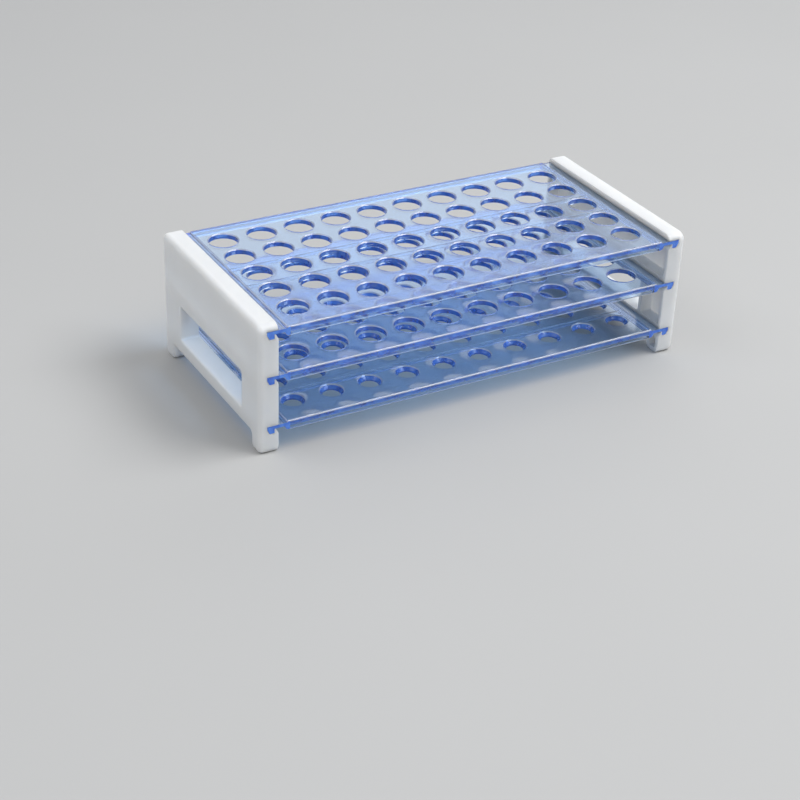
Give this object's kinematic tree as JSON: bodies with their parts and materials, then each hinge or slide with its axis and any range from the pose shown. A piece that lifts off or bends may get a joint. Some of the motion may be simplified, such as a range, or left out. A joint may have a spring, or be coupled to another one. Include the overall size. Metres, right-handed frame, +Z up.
{
  "type": "test tube rack",
  "caption": "Low rectangular test tube rack: white end frames with feet and hand windows hold clear blue slide-in decks, drilled above and cupped below.",
  "frame": {"origin": "centre of the footprint, in the plane the four feet stand on", "axes": "+X along the rack's length, +Y from front to back, +Z up; the decks slide out towards -Y"},
  "size_m": [0.2118, 0.0992, 0.0601],
  "materials": {
    "white_plastic": "satin moulded white plastic",
    "blue_plastic": "clear blue moulded plastic, polished"
  },
  "bodies": {
    "end_frames": {"end_frame_left": "white_plastic", "end_frame_right": "white_plastic"},
    "top_deck": {"top_deck": "blue_plastic"},
    "middle_deck": {"middle_deck": "blue_plastic"},
    "bottom_deck": {"bottom_deck": "blue_plastic"}
  },
  "joints": [
    {"name": "top_deck_slide", "type": "slide", "parent": "end_frames", "child": "top_deck", "axis": [0, -1, 0], "range_m": [0, 0.105]},
    {"name": "middle_deck_slide", "type": "slide", "parent": "end_frames", "child": "middle_deck", "axis": [0, -1, 0], "range_m": [0, 0.105]},
    {"name": "bottom_deck_slide", "type": "slide", "parent": "end_frames", "child": "bottom_deck", "axis": [0, -1, 0], "range_m": [0, 0.105]}
  ]
}
